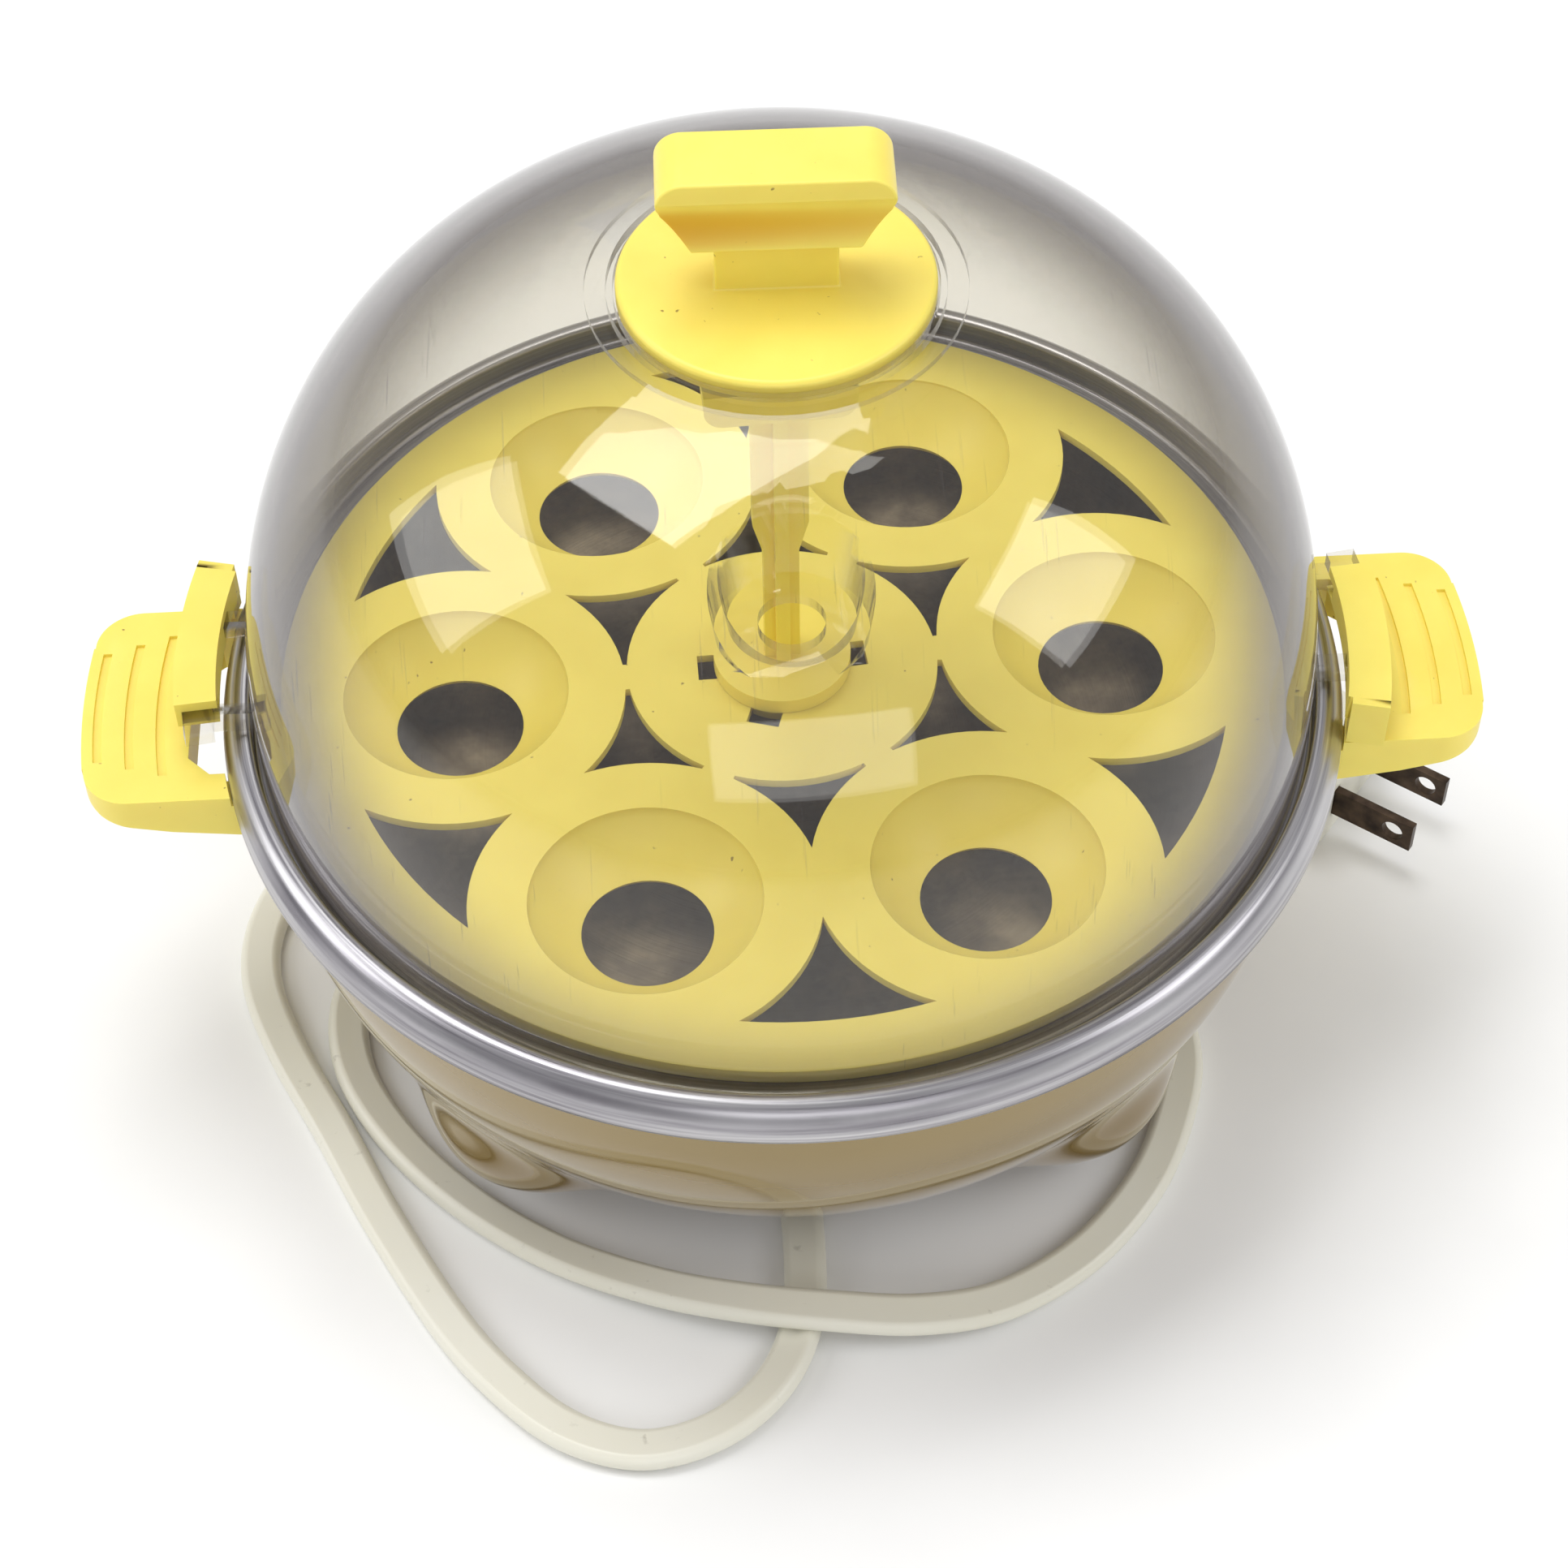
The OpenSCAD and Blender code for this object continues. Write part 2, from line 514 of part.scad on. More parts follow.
// Height of the dome's bottom edge
lid_z = ledge_z + gap;
module dome_profile() polygon(concat(
    [[dome_r, lid_z], [dome_r, dome_z]],
    dome_curve(annulus_r, 0), [[annulus_r, dome_h(annulus_r, 0)], [annulus_r, annulus_z],
     [24.4, annulus_z - 0.4], [24.4, disc_z + 1.6], [23.4, disc_z + 1.6], [23.4, disc_z - 0.1],
     [0, disc_z - 0.1], [0, disc_z - dome_t], [26, disc_z - dome_t]],
    rev(dome_curve(annulus_r + 1.5, dome_t)), [[dome_r - dome_t, dome_z], [dome_r - dome_t, lid_z]]));
module ear_loop() {
    for (y = [-9, 11]) translate([dome_r - 1, y - 1.8, ear_z])
        cube([ear_in - dome_r + 2, 3.6, ear_t]);
    sector(ear_in, ear_out, -8.5, 9.5, ear_z, ear_z + ear_t);
}
module lid_dome() color("#C9C7C2", 0.35) lid_place() difference() {
    union() {
        rotate_extrude($fn = 128) dome_profile();
        for (a = [0, 180]) rotate([0, 0, a]) mirror([0, a == 0 ? 1 : 0, 0])
            mirror([0, a == 0 ? 0 : 1, 0]) ear_side();
        // vent well: a tapered cup sunk in the dome's front
        intersection() {
            translate([0, -vent_y, vent_floor - 1.8])
                cylinder(r1 = vent_r - 0.6, r2 = vent_r + 1.8, h = 20);
            rotate_extrude() polygon(concat([[0, 60], [dome_r, 60], [dome_r, dome_z]],
                dome_curve(annulus_r, 0), [[annulus_r, annulus_z], [0, annulus_z]]));
        }
    }
    translate([0, -vent_y, vent_floor]) cylinder(r1 = vent_r - 2.4, r2 = vent_r + 1.4, h = 26);
    translate([0, -vent_y, vent_floor - 5]) cylinder(r = steam_r, h = 10);
    translate([0, 0, disc_z - 6]) cylinder(r = 2.6, h = 12);
}
// The right ear has its grip's leg at the front, the left ear at the back
module ear_side() mirror([0, 1, 0]) ear_loop();
// A grip strip round the outer bar of an ear, with one end turned down into a leg
module lid_grip() difference() {
    union() {
        sector(grip_in, grip_out, -11.5, 6.5, ear_z - 0.6, grip_z);
        sector(rim_r + 0.5, grip_out, -12.4, -10, handle_z + 0.9, grip_z);
    }
    sector(ear_in - 0.05, ear_out + 0.05, -9.6, 8.7, ear_z - 0.05, ear_z + ear_t + 0.05);
    translate([88, -10.95, ear_z - 0.05]) cube([4, 3.9, ear_t + 0.1]);
    translate([88, 8.95 - 19.9 + 18, ear_z - 0.05]) cube([4, 3.9, ear_t + 0.1]);
}
module lid_grip_right() color(yellow) lid_place() lid_grip();
module lid_grip_left() color(yellow) lid_place() rotate([0, 0, 180]) lid_grip();

module lid_knob() color(yellow) lid_place() difference() {
    union() {
        translate([0, 0, disc_z]) cylinder(r = disc_r, h = disc_top - disc_z - 0.6);
        translate([0, 0, disc_top - 0.6 - e]) cylinder(r1 = disc_r, r2 = disc_r - 0.6, h = 0.6 + e);
        translate([-8.8, -3.2, disc_top - e]) cube([17.6, 6.4, 10]);
        translate([0, 6, 0]) rotate([90, 0, 0]) linear_extrude(12) union() {
            polygon([[-12, 162], [12, 162], [knob_w / 2 - 0.6, 168], [knob_w / 2, knob_top - 4],
                [knob_w / 2 - 4, knob_top], [4 - knob_w / 2, knob_top], [-knob_w / 2, knob_top - 4],
                [0.6 - knob_w / 2, 168]]);
            for (s = [-1, 1]) translate([s * (knob_w / 2 - 4), knob_top - 4]) circle(r = 4);
        }
    }
    for (s = [-1, 1]) translate([-20, s * 13.4, 166]) rotate([0, 90, 0]) cylinder(r = 9, h = 40);
    translate([0, 0, disc_z - 1]) cylinder(r = 1.5, h = 10);
}
module knob_washer() color(steel) lid_place() difference() {
    translate([0, 0, disc_z - dome_t - 1]) cylinder(r = 6, h = 1);
    translate([0, 0, disc_z - dome_t - 2]) cylinder(r = 2, h = 3);
}
module knob_screw() color(steel) lid_place() translate([0, 0, disc_z - dome_t - 1]) rotate([180, 0, 0])
    screw(1.45, 9, 3.4, 2);

base_body();
side_handle_left();
side_handle_right();
handle_screws();
bottom_cover();
cover_screws();
rubber_feet();
heating_pan();
heating_element();
element_clamp();
heat_shield();
pan_nuts();
thermostat();
thermostat_clip();
thermal_fuse();
terminal_block();
supply_leads();
element_leads();
power_switch();
power_button();
button_bezel();
indicator_lamp();
indicator_lens();
cord_gland();
strain_relief();
power_cord();
plug_body();
plug_blades();
egg_tray();
tray_handle();
lid_dome();
lid_grip_left();
lid_grip_right();
lid_knob();
knob_screw();
knob_washer();
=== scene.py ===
"""Egg cooker: finished surfaces, cord, materials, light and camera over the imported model.

Lengths in this file are metres unless a name ends in _mm. Each operator makes one
piece or one group of like pieces, and main() calls them in order.
"""

import json
import math

import bmesh
import bpy
import numpy as np
from mathutils import Matrix, Vector


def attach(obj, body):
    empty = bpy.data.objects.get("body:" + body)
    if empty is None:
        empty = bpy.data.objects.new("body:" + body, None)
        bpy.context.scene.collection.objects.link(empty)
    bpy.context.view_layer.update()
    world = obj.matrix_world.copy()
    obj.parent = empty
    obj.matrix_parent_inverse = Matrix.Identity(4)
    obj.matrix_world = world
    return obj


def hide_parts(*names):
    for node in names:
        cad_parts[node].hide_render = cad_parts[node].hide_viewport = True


bl_info = {
    "name": "Egg cooker",
    "version": (1, 0, 0),
    "blender": (4, 5, 0),
    "location": "3D View > Sidebar > Egg cooker",
    "description": "Builds the finished egg cooker over its packed model",
    "category": "Object",
}

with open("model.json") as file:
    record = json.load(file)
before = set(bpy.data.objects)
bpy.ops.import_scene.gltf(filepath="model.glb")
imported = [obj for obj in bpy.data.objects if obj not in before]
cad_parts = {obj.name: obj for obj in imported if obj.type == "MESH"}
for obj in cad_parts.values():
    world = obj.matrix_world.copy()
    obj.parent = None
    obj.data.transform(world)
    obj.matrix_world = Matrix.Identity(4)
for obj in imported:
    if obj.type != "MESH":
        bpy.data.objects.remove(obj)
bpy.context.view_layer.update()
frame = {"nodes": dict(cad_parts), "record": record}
NODES = frame["nodes"]
BODY_OF = {n: b for b, ns in frame["record"]["behaviour"]["bodies"].items() for n in ns}
MM = 0.001


# --- settings -------------------------------------------------------------


class EggCookerColours(bpy.types.PropertyGroup):
    """Colours of the finishes, as display values"""

    yellow: bpy.props.FloatVectorProperty(
        name="Moulded yellow",
        description="Satin yellow of the tray, the knob and the handles",
        subtype="COLOR_GAMMA",
        size=3,
        min=0,
        max=1,
        default=(0.945, 0.875, 0.42),
    )
    # painted shade: this yellow is set darker and browner than the moulded yellow, to the tone the base
    # shows in shade
    base: bpy.props.FloatVectorProperty(
        name="Base gloss",
        description="Glossy yellow of the base",
        subtype="COLOR_GAMMA",
        size=3,
        min=0,
        max=1,
        default=(0.55, 0.46, 0.21),
    )
    cord: bpy.props.FloatVectorProperty(
        name="Cord white",
        description="Off-white of the cord and the plug",
        subtype="COLOR_GAMMA",
        size=3,
        min=0,
        max=1,
        default=(0.90, 0.895, 0.855),
    )


class EggCookerSizes(bpy.types.PropertyGroup):
    """Sizes of the finish that a user may change"""

    edge: bpy.props.FloatProperty(
        name="Moulded edge",
        description="Radius of the rounded edges on moulded plastic",
        unit="LENGTH",
        subtype="DISTANCE",
        min=0.0001,
        max=0.002,
        default=0.0007,
    )
    lobe_blend: bpy.props.FloatProperty(
        name="Foot blend",
        description="Length over which a foot lobe runs into the bowl",
        unit="LENGTH",
        subtype="DISTANCE",
        min=0.001,
        max=0.015,
        default=0.008,
    )
    exposure: bpy.props.FloatProperty(
        name="Light strength",
        description="Multiplies the strength of every studio light",
        min=0.2,
        max=4,
        default=1.0,
    )


# --- helpers --------------------------------------------------------------


def linear(colour):
    """sRGB hex string or display triple to a linear RGBA tuple."""
    if isinstance(colour, str):
        text = colour.lstrip("#")
        colour = [int(text[i : i + 2], 16) / 255 for i in (0, 2, 4)]
    return tuple(c / 12.92 if c <= 0.04045 else ((c + 0.055) / 1.055) ** 2.4 for c in colour) + (1.0,)


def add(tree, kind, inputs=None, **settings):
    """Adds a node to tree with its settings; inputs are values or sockets to link from."""
    node = tree.nodes.new(kind)
    for key, value in settings.items():
        setattr(node, key, value)
    for key, value in (inputs or {}).items():
        socket = node.inputs[key]
        if isinstance(value, bpy.types.NodeSocket):
            tree.links.new(value, socket)
        else:
            socket.default_value = value
    return node


def ramp(tree, factor, stops):
    """A colour ramp on factor with (position, hex colour) stops."""
    node = add(tree, "ShaderNodeValToRGB", {"Fac": factor})
    elements = node.color_ramp.elements
    elements[0].position, elements[0].color = stops[0][0], linear(stops[0][1])
    elements[1].position, elements[1].color = stops[-1][0], linear(stops[-1][1])
    for position, colour in stops[1:-1]:
        elements.new(position).color = linear(colour)
    return node.outputs["Color"]


def new_material(name):
    """An empty node material of that name, or the one already made."""
    found = bpy.data.materials.get(name)
    if found:
        return found, None
    material = bpy.data.materials.new(name)
    material.use_nodes = True
    material.node_tree.nodes.clear()
    return material, material.node_tree


def close(tree, shader):
    """Links shader to a new material output."""
    add(tree, "ShaderNodeOutputMaterial", {"Surface": shader})


def mesh_object(name, points, faces, material, body, replaces=(), uv=None):
    """A finished piece from an array of points in millimetres and rows of faces."""
    mesh = bpy.data.meshes.new(name)
    mesh.from_pydata((np.asarray(points) * MM).tolist(), [], np.asarray(faces).tolist())
    if uv is not None:
        layer = mesh.uv_layers.new(name="surface")
        corner = np.zeros(len(mesh.loops), np.int32)
        mesh.loops.foreach_get("vertex_index", corner)
        layer.data.foreach_set("uv", np.asarray(uv)[corner].astype(np.float32).ravel())
    work = bmesh.new()
    work.from_mesh(mesh)
    bmesh.ops.remove_doubles(work, verts=work.verts, dist=1e-7)
    bmesh.ops.recalc_face_normals(work, faces=work.faces)
    work.to_mesh(mesh)
    work.free()
    mesh.polygons.foreach_set("use_smooth", [True] * len(mesh.polygons))
    mesh.materials.append(material)
    piece = bpy.data.objects.new(name, mesh)
    bpy.context.scene.collection.objects.link(piece)
    if replaces:
        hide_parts(*replaces)
    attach(piece, body)
    return piece


def grid_faces(rows, columns, wrap_rows=False, wrap_columns=False):
    """Quads of a grid of rows by columns points, closed on itself where asked."""
    r = np.arange(rows if wrap_rows else rows - 1)
    c = np.arange(columns if wrap_columns else columns - 1)
    r, c = np.meshgrid(r, c, indexing="ij")
    r1, c1 = (r + 1) % rows, (c + 1) % columns
    quads = np.stack([r * columns + c, r * columns + c1, r1 * columns + c1, r1 * columns + c], -1)
    return quads.reshape(-1, 4)


def revolve(profile, steps):
    """Points of a profile of (radius, height) rows turned round Z; the seam is at the back.
    A point is (r cos a, r sin a, z) with a from 90 degrees round to 450."""
    profile = np.asarray(profile, float)
    a = np.pi / 2 + np.arange(steps) * 2 * np.pi / steps
    ring = np.stack([np.cos(a), np.sin(a)], -1)
    xy = profile[:, None, 0:1] * ring[None]
    z = np.broadcast_to(profile[:, None, 1:2], xy.shape[:2] + (1,))
    return np.concatenate([xy, z], -1).reshape(-1, 3)


def arc(cx, cy, rx, ry, start, end, count):
    """Points of an ellipse's arc, angles in degrees."""
    a = np.radians(np.linspace(start, end, count))
    return np.stack([cx + rx * np.cos(a), cy + ry * np.sin(a)], -1)


def resample(points, count):
    """A polyline walked in count equal steps."""
    points = np.asarray(points, float)
    run = np.concatenate([[0], np.cumsum(np.linalg.norm(np.diff(points, axis=0), axis=1))])
    at = np.linspace(0, run[-1], count)
    return np.stack([np.interp(at, run, points[:, k]) for k in range(points.shape[1])], -1)


def moulded(node, material, edge=None, segments=3, corner=34, merge=1e-5):
    """A copy of a CAD node with its edges rounded, as a mould leaves them, in its place."""
    mesh = NODES[node].data.copy()
    mesh.name = node + "_finish"
    work = bmesh.new()
    work.from_mesh(mesh)
    bmesh.ops.remove_doubles(work, verts=work.verts, dist=merge)
    bmesh.ops.dissolve_limit(
        work, angle_limit=math.radians(0.8), verts=work.verts, edges=work.edges
    )
    work.to_mesh(mesh)
    work.free()
    mesh.materials.clear()
    mesh.materials.append(material)
    mesh.polygons.foreach_set("use_smooth", [True] * len(mesh.polygons))
    mesh.set_sharp_from_angle(angle=math.radians(corner))
    piece = bpy.data.objects.new(node + "_finish", mesh)
    bpy.context.scene.collection.objects.link(piece)
    if edge:
        bevel = piece.modifiers.new("rounded edges", "BEVEL")
        bevel.limit_method = "ANGLE"
        bevel.angle_limit = math.radians(corner)
        bevel.width = edge
        bevel.segments = segments
        bevel.harden_normals = True
    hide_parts(node)
    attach(piece, BODY_OF[node])
    return piece


def repaint(material, *nodes):
    """Gives CAD nodes a material."""
    for name in nodes:
        mesh = NODES[name].data
        mesh.materials.clear()
        mesh.materials.append(material)


# --- materials ------------------------------------------------------------


def moulded_yellow(name="Satin moulded polypropylene, yellow", scoop_shade=None):
    """Satin polypropylene: soft wide highlights, faint mottling, a few dark specks of dirt.
    The last argument gives (half thickness in y, low z, high z) for painted shade: a deeper orange inside
    a thin grip's scoops."""
    material, tree = new_material(name)
    if tree is None:
        return material
    where = add(tree, "ShaderNodeTexCoord").outputs["Object"]
    # mottling about 12 mm across, specks about 0.6 mm
    cloud = add(tree, "ShaderNodeTexNoise", {"Vector": where, "Scale": 85.0, "Detail": 3.0})
    base = bpy.context.scene.egg_cooker_colours.yellow
    pale = [min(1, c * 1.02) for c in base]
    deep = [base[0] * 0.965, base[1] * 0.95, base[2] * 0.84]
    tint = add(
        tree,
        "ShaderNodeMix",
        {"Factor": cloud.outputs["Fac"], 6: linear(deep), 7: linear(pale)},
        data_type="RGBA",
    ).outputs[2]
    if scoop_shade:
        half, low, high = scoop_shade
        axis = add(tree, "ShaderNodeSeparateXYZ", {"Vector": where})
        depth = add(tree, "ShaderNodeMath", {0: axis.outputs["Y"]}, operation="ABSOLUTE")
        inside = add(
            tree,
            "ShaderNodeMapRange",
            {
                "Value": depth.outputs[0],
                "From Min": half,
                "From Max": half * 0.72,
                "To Min": 0.0,
                "To Max": 1.0,
            },
            interpolation_type="SMOOTHSTEP",
        )
        tall = add(
            tree,
            "ShaderNodeMapRange",
            {
                "Value": axis.outputs["Z"],
                "From Min": high,
                "From Max": high - 0.0035,
                "To Min": 0.0,
                "To Max": 1.0,
            },
            interpolation_type="SMOOTHSTEP",
        )
        lower = add(
            tree,
            "ShaderNodeMapRange",
            {
                "Value": axis.outputs["Z"],
                "From Min": low,
                "From Max": low + 0.003,
                "To Min": 0.0,
                "To Max": 1.0,
            },
            interpolation_type="SMOOTHSTEP",
        )
        both = add(
            tree,
            "ShaderNodeMath",
            {0: inside.outputs[0], 1: tall.outputs[0]},
            operation="MULTIPLY",
        )
        scoop_shade_mask = add(
            tree,
            "ShaderNodeMath",
            {0: both.outputs[0], 1: lower.outputs[0]},
            operation="MULTIPLY",
        )
        # painted shade: a deeper orange mixed in inside the scoops, where shade falls
        tint = add(
            tree,
            "ShaderNodeMix",
            {"Factor": scoop_shade_mask.outputs[0], 6: tint, 7: linear("#D9A627")},
            data_type="RGBA",
        ).outputs[2]
    speck = add(tree, "ShaderNodeTexNoise", {"Vector": where, "Scale": 780.0, "Detail": 1.0})
    dirt = add(
        tree,
        "ShaderNodeMapRange",
        {
            "Value": speck.outputs["Fac"],
            "From Min": 0.775,
            "From Max": 0.83,
            "To Min": 0.0,
            "To Max": 0.75,
        },
    )
    colour = add(
        tree,
        "ShaderNodeMix",
        {"Factor": dirt.outputs[0], 6: tint, 7: linear("#6E5424")},
        data_type="RGBA",
    ).outputs[2]
    grain = add(tree, "ShaderNodeTexNoise", {"Vector": where, "Scale": 2600.0, "Detail": 2.0})
    bump = add(
        tree,
        "ShaderNodeBump",
        {"Height": grain.outputs["Fac"], "Strength": 0.05, "Distance": 0.0002},
    )
    rough = add(
        tree,
        "ShaderNodeMapRange",
        {"Value": cloud.outputs["Fac"], "To Min": 0.34, "To Max": 0.48},
    )
    shader = add(
        tree,
        "ShaderNodeBsdfPrincipled",
        {
            "Base Color": colour,
            "Roughness": rough.outputs[0],
            "IOR": 1.49,
            "Subsurface Weight": 0.18,
            "Subsurface Radius": (0.006, 0.004, 0.0012),
            "Subsurface Scale": 0.6,
            "Normal": bump.outputs[0],
        },
    )
    close(tree, shader.outputs[0])
    return material


def gloss_base():
    """Lacquered base: a mirror-smooth coat over deep yellow, with painted shade that darkens it to brown
    lower down.
    """
    material, tree = new_material("Lacquered steel, golden yellow")
    if tree is None:
        return material
    where = add(tree, "ShaderNodeTexCoord").outputs["Object"]
    axis = add(tree, "ShaderNodeSeparateXYZ", {"Vector": where})
    # painted shade: the colour darkens towards the bottom of the base
    height = add(
        tree,
        "ShaderNodeMapRange",
        {"Value": axis.outputs["Z"], "From Min": 0.004, "From Max": 0.066},
    )
    base = bpy.context.scene.egg_cooker_colours.base
    low = [base[0] * 0.86, base[1] * 0.80, base[2] * 0.66]
    tint = add(
        tree,
        "ShaderNodeMix",
        {"Factor": height.outputs[0], 6: linear(low), 7: linear(base)},
        data_type="RGBA",
    ).outputs[2]
    # smears about 20 mm long dull the gloss a little
    smear = add(tree, "ShaderNodeTexNoise", {"Vector": where, "Scale": 48.0, "Detail": 6.0})
    rough = add(
        tree, "ShaderNodeMapRange", {
            "Value": smear.outputs["Fac"],
            "From Min": 0.35,
            "From Max": 0.75,
            "To Min": 0.05,
            "To Max": 0.16,
        }
    )
    shader = add(
        tree,
        "ShaderNodeBsdfPrincipled",
        {
            "Base Color": tint,
            "Metallic": 0.25,
            "Roughness": rough.outputs[0],
            "Coat Weight": 0.8,
            "Coat Roughness": 0.03,
        },
    )
    close(tree, shader.outputs[0])
    return material


def spun_steel():
    """Pressed stainless pan: lathe lines round the rim, heat stain and scale on the plate."""
    material, tree = new_material("Stainless steel, spun and heat-stained")
    if tree is None:
        return material
    where = add(tree, "ShaderNodeTexCoord").outputs["Object"]
    axis = add(tree, "ShaderNodeSeparateXYZ", {"Vector": where})
    flat = add(tree, "ShaderNodeCombineXYZ", {"X": axis.outputs["X"], "Y": axis.outputs["Y"]})
    radius = add(tree, "ShaderNodeVectorMath", {0: flat.outputs[0]}, operation="LENGTH")
    turn = add(tree, "ShaderNodeVectorMath", {0: flat.outputs[0]}, operation="NORMALIZE")
    turned = add(tree, "ShaderNodeSeparateXYZ", {"Vector": turn.outputs["Vector"]})
    # lathe lines 0.35 mm apart and 40 mm long, so the noise is squeezed across them
    across = add(
        tree,
        "ShaderNodeMath",
        {0: radius.outputs["Value"], 1: 1.7, 2: axis.outputs["Z"]},
        operation="MULTIPLY_ADD",
    )
    squeezed = add(tree, "ShaderNodeMath", {0: across.outputs[0], 1: 900.0}, operation="MULTIPLY")
    line_at = add(
        tree,
        "ShaderNodeCombineXYZ",
        {"X": turned.outputs["X"], "Y": turned.outputs["Y"], "Z": squeezed.outputs[0]},
    )
    lines = add(
        tree,
        "ShaderNodeTexNoise",
        {"Vector": line_at.outputs[0], "Scale": 1.6, "Detail": 4.0},
    )
    stain = add(
        tree,
        "ShaderNodeTexNoise",
        {"Vector": where, "Scale": 42.0, "Detail": 8.0, "Roughness": 0.65},
    )
    rim_colour = ramp(
        tree, lines.outputs["Fac"], [(0.3, "#77747A"), (0.5, "#A9A7AB"), (0.7, "#C9C8C9")]
    )
    plate_colour = ramp(
        tree, stain.outputs["Fac"], [(0.34, "#3A332B"), (0.5, "#6A5F50"), (0.68, "#9A8E78")]
    )
    inner = add(
        tree,
        "ShaderNodeMapRange",
        {"Value": radius.outputs["Value"], "From Min": 0.0835, "From Max": 0.0765},
    )
    colour = add(
        tree,
        "ShaderNodeMix",
        {"Factor": inner.outputs[0], 6: rim_colour, 7: plate_colour},
        data_type="RGBA",
    ).outputs[2]
    metal = add(
        tree,
        "ShaderNodeMapRange",
        {"Value": inner.outputs[0], "To Min": 1.0, "To Max": 0.55},
    )
    rough = add(
        tree,
        "ShaderNodeMapRange",
        {"Value": lines.outputs["Fac"], "To Min": 0.2, "To Max": 0.42},
    )
    rough_all = add(
        tree,
        "ShaderNodeMath",
        {0: inner.outputs[0], 1: 0.22, 2: rough.outputs[0]},
        operation="MULTIPLY_ADD",
    )
    bump = add(
        tree,
        "ShaderNodeBump",
        {"Height": lines.outputs["Fac"], "Strength": 0.25, "Distance": 0.0002},
    )
    shader = add(
        tree,
        "ShaderNodeBsdfPrincipled",
        {
            "Base Color": colour,
            "Metallic": metal.outputs[0],
            "Roughness": rough_all.outputs[0],
            "Normal": bump.outputs[0],
        },
    )
    close(tree, shader.outputs[0])
    return material


def clear_lid():
    """Clear styrene dome: nearly invisible face on, a painted grey reflection where seen along
    the wall, with fine scratches that catch light."""
    material, tree = new_material("Clear styrene, painted grey reflection, scratched")
    if tree is None:
        return material
    where = add(tree, "ShaderNodeTexCoord").outputs["Object"]
    weight = add(tree, "ShaderNodeLayerWeight", {"Blend": 0.5})
    # painted reflection: this mask mixes an opaque grey in as the wall turns edge on, standing in for the
    # dark surroundings it reflects
    edge = add(
        tree,
        "ShaderNodeMapRange",
        {
            "Value": weight.outputs["Facing"],
            "From Min": 0.30,
            "From Max": 0.95,
            "To Min": 0.03,
            "To Max": 0.80,
        },
        interpolation_type="SMOOTHSTEP",
    )
    # scratches about 0.3 mm wide and 10 mm long, in two crossing directions
    marks = []
    for turn in (0.6, 2.1):
        squash = add(
            tree,
            "ShaderNodeMapping",
            {"Vector": where, "Rotation": (0.3, turn * 0.4, turn), "Scale": (1500.0, 45.0, 90.0)},
        )
        noise = add(
            tree,
            "ShaderNodeTexNoise",
            {"Vector": squash.outputs[0], "Scale": 1.0, "Detail": 1.0},
        )
        thin = add(
            tree,
            "ShaderNodeMapRange",
            {"Value": noise.outputs["Fac"], "From Min": 0.735, "From Max": 0.79},
        )
        marks.append(thin.outputs[0])
    scratch = add(tree, "ShaderNodeMath", {0: marks[0], 1: marks[1]}, operation="MAXIMUM")
    patch = add(tree, "ShaderNodeTexNoise", {"Vector": where, "Scale": 26.0, "Detail": 2.0})
    worn = add(
        tree,
        "ShaderNodeMapRange",
        {
            "Value": patch.outputs["Fac"],
            "From Min": 0.42,
            "From Max": 0.62,
            "To Min": 0.0,
            "To Max": 0.20,
        },
    )
    shown = add(
        tree,
        "ShaderNodeMath",
        {0: scratch.outputs[0], 1: worn.outputs[0]},
        operation="MULTIPLY",
    )
    cover = add(
        tree,
        "ShaderNodeMath",
        {0: edge.outputs[0], 1: shown.outputs[0]},
        operation="ADD",
        use_clamp=True,
    )
    # painted reflection: the grey that stands in for the surroundings seen in the wall edge on; the
    # scratches use it too
    painted_reflection_grey = add(
        tree,
        "ShaderNodeBsdfPrincipled",
        {
            "Base Color": linear("#6C6768"),
            "Roughness": 0.06,
            "IOR": 1.58,
        },
    )
    clear = add(tree, "ShaderNodeBsdfTransparent", {"Color": linear("#FBFAF7")})
    # Schlick's curve, 0.04 + 0.9 facing^5: the same on both faces of the wall
    fifth = add(tree, "ShaderNodeMath", {0: weight.outputs["Facing"], 1: 5.0}, operation="POWER")
    fresnel = add(
        tree,
        "ShaderNodeMath",
        {0: fifth.outputs[0], 1: 0.9, 2: 0.04},
        operation="MULTIPLY_ADD",
    )
    gloss = add(tree, "ShaderNodeBsdfGlossy", {"Color": (1, 1, 1, 1), "Roughness": 0.03})
    sheen = add(
        tree,
        "ShaderNodeMixShader",
        {0: fresnel.outputs[0], 1: clear.outputs[0], 2: gloss.outputs[0]},
    )
    mixed = add(
        tree,
        "ShaderNodeMixShader",
        {0: cover.outputs[0], 1: sheen.outputs[0], 2: painted_reflection_grey.outputs[0]},
    )
    close(tree, mixed.outputs[0])
    return material


